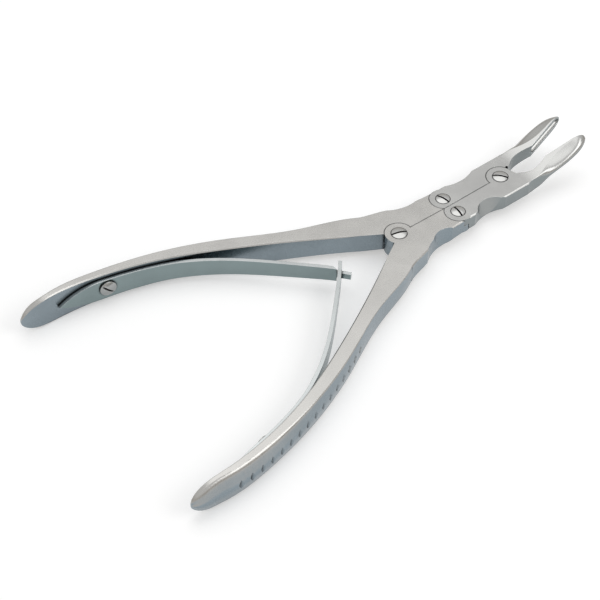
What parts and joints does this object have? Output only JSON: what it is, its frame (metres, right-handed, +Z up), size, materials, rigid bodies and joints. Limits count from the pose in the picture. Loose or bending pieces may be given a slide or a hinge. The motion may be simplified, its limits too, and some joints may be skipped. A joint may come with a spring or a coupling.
{
  "type": "bone rongeur",
  "caption": "Double-action bone rongeur with sprung handles, half-lapped joints and up-curved hollow jaws, lying open",
  "frame": {"origin": "axis of the front pivot, on the flat underside of the jaws", "axes": "+X towards the jaw tips, +Y towards the upper handle, +Z up out of the flat faces"},
  "size_m": [0.1735, 0.0866, 0.0129],
  "materials": {
    "body_steel": "satin",
    "screw_steel": "polished",
    "spring_steel": "satin"
  },
  "bodies": {
    "handle_a": {"upper_handle": "body_steel", "upper_leaf_spring": "spring_steel", "upper_spring_screw": "screw_steel", "rear_pivot_screw": "screw_steel", "upper_link_screw": "screw_steel"},
    "handle_b": {"lower_handle": "body_steel", "lower_leaf_spring": "spring_steel", "lower_spring_screw": "screw_steel", "lower_link_screw": "screw_steel"},
    "jaw_a": {"upper_jaw": "body_steel", "front_pivot_screw": "screw_steel"},
    "jaw_b": {"lower_jaw": "body_steel"}
  },
  "joints": [
    {"name": "rear_pivot", "type": "hinge", "parent": "handle_a", "child": "handle_b", "pos_m": [-0.04, 0, 0.0025], "axis": [0, 0, -1], "range_deg": [0, 21], "stiffness_Nm_per_rad": 1.5, "springref_deg": -4.58, "deforming": ["upper_leaf_spring", "lower_leaf_spring"]},
    {"name": "upper_link", "type": "hinge", "parent": "handle_a", "child": "jaw_a", "pos_m": [-0.02, 0.0034, 0.0025], "axis": [0, 0, -1], "range_deg": [0, 21]},
    {"name": "lower_link", "type": "hinge", "parent": "handle_b", "child": "jaw_b", "pos_m": [-0.02, -0.0034, 0.0025], "axis": [0, 0, 1], "range_deg": [0, 21]}
  ],
  "couplings": [
    {"joint": "upper_link", "follows": "rear_pivot", "ratio": 1},
    {"joint": "lower_link", "follows": "rear_pivot", "ratio": 1}
  ]
}
